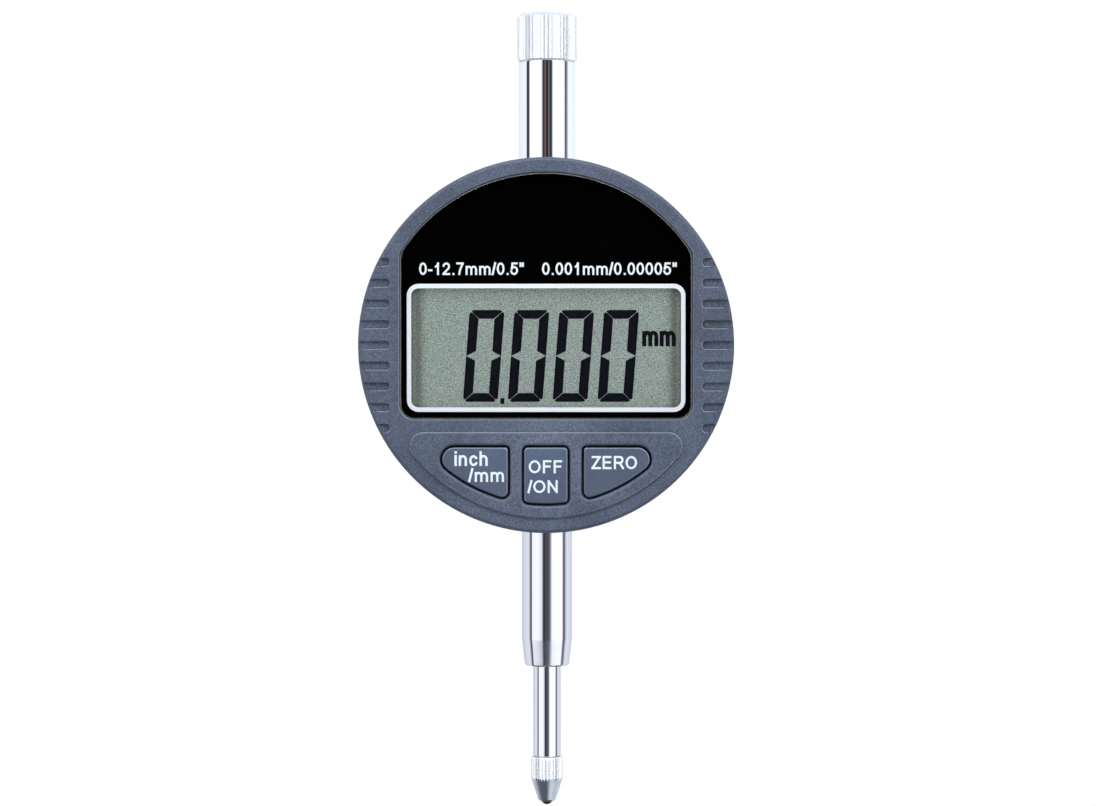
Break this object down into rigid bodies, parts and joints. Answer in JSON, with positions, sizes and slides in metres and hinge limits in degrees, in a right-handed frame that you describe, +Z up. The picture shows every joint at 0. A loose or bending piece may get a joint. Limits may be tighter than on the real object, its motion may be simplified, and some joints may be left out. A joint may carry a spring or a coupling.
{
  "type": "digital dial indicator",
  "caption": "Digital dial indicator: round case with a display and press keys, 8 mm clamping stem, sprung spindle with a screwed contact point, knurled top cap and lug back.",
  "frame": {"origin": "on the spindle axis, halfway along the stem's 8 mm clamping length", "axes": "+Z up the spindle axis towards the top cap, display facing -Y, lug at +Y, +X to the right of someone reading the display"},
  "size_m": [0.059, 0.0344, 0.1269],
  "materials": {
    "case_plastic": "fine spark-eroded texture",
    "window_acrylic": "clear, polished",
    "mask_ink": "screen-printed black",
    "display_film": "grey-green polariser",
    "display_glass": "clear",
    "reflector_film": "satin",
    "foam": "closed-cell foam",
    "holder_plastic": "moulded",
    "zebra_rubber": "layered carbon rubber",
    "key_plastic": "smooth satin",
    "plunger_plastic": "moulded",
    "switch_metal": "stamped",
    "board_laminate": "solder mask",
    "screw_steel": "nickel plated",
    "chip_resin": "moulded resin",
    "nickel": "nickel plated",
    "bright_chrome": "polished",
    "knurled_chrome": "satin knurl",
    "contact_steel": "satin nickel",
    "carbide": "ground carbide",
    "bush_brass": "turned",
    "stop_rubber": "moulded",
    "slider_aluminium": "milled",
    "spring_steel": "drawn wire",
    "cell_steel": "bright steel can"
  },
  "bodies": {
    "housing": {"front_case": "case_plastic", "back_cover": "case_plastic", "window_panel": "window_acrylic", "printed_mask": "mask_ink", "front_polariser": "display_film", "lcd_front_glass": "display_glass", "lcd_rear_glass": "display_glass", "lcd_reflector": "reflector_film", "lcd_foam_pad": "foam", "lcd_holder": "holder_plastic", "zebra_strips": "zebra_rubber", "tact_switches": "switch_metal", "main_board": "board_laminate", "board_screws": "screw_steel", "cover_screws": "screw_steel", "controller_chip": "chip_resin", "crystal_can": "nickel", "stem": "bright_chrome", "top_tube": "bright_chrome", "guide_rod": "bright_chrome", "lower_bush": "bush_brass", "upper_bush": "bush_brass", "stop_ring": "stop_rubber", "return_spring": "spring_steel", "battery_holder": "holder_plastic", "battery_cell": "cell_steel", "battery_spring": "nickel", "battery_strip": "nickel"},
    "spindle": {"spindle": "bright_chrome", "slider_block": "slider_aluminium", "clamp_screw": "screw_steel", "moving_grid": "board_laminate"},
    "contact": {"contact_point": "contact_steel", "contact_ball": "carbide"},
    "cap": {"top_cap": "knurled_chrome"},
    "unit_button": {"unit_key": "key_plastic", "unit_plunger": "plunger_plastic"},
    "power_button": {"power_key": "key_plastic", "power_plunger": "plunger_plastic"},
    "zero_button": {"zero_key": "key_plastic", "zero_plunger": "plunger_plastic"},
    "door": {"battery_door": "case_plastic"}
  },
  "joints": [
    {"name": "spindle_slide", "type": "slide", "parent": "housing", "child": "spindle", "axis": [0, 0, 1], "range_m": [0, 0.013], "stiffness_N_per_m": 50, "springref_m": -0.01, "deforming": ["return_spring"]},
    {"name": "contact_turn", "type": "hinge", "parent": "spindle", "child": "contact", "pos_m": [0, 0, -0.02769], "axis": [0, 0, 1], "continuous": true},
    {"name": "cap_turn", "type": "hinge", "parent": "housing", "child": "cap", "pos_m": [0, 0, 0.08735], "axis": [0, 0, 1], "continuous": true},
    {"name": "unit_press", "type": "slide", "parent": "housing", "child": "unit_button", "axis": [0, 1, 0], "range_m": [0, 0.0005], "stiffness_N_per_m": 1200, "springref_m": -0.0005},
    {"name": "power_press", "type": "slide", "parent": "housing", "child": "power_button", "axis": [0, 1, 0], "range_m": [0, 0.0005], "stiffness_N_per_m": 1200, "springref_m": -0.0005},
    {"name": "zero_press", "type": "slide", "parent": "housing", "child": "zero_button", "axis": [0, 1, 0], "range_m": [0, 0.0005], "stiffness_N_per_m": 1200, "springref_m": -0.0005},
    {"name": "door_turn", "type": "hinge", "parent": "housing", "child": "door", "pos_m": [-0.0178, 0.0085, 0.03825], "axis": [0, -1, 0], "range_deg": [0, 40]}
  ]
}
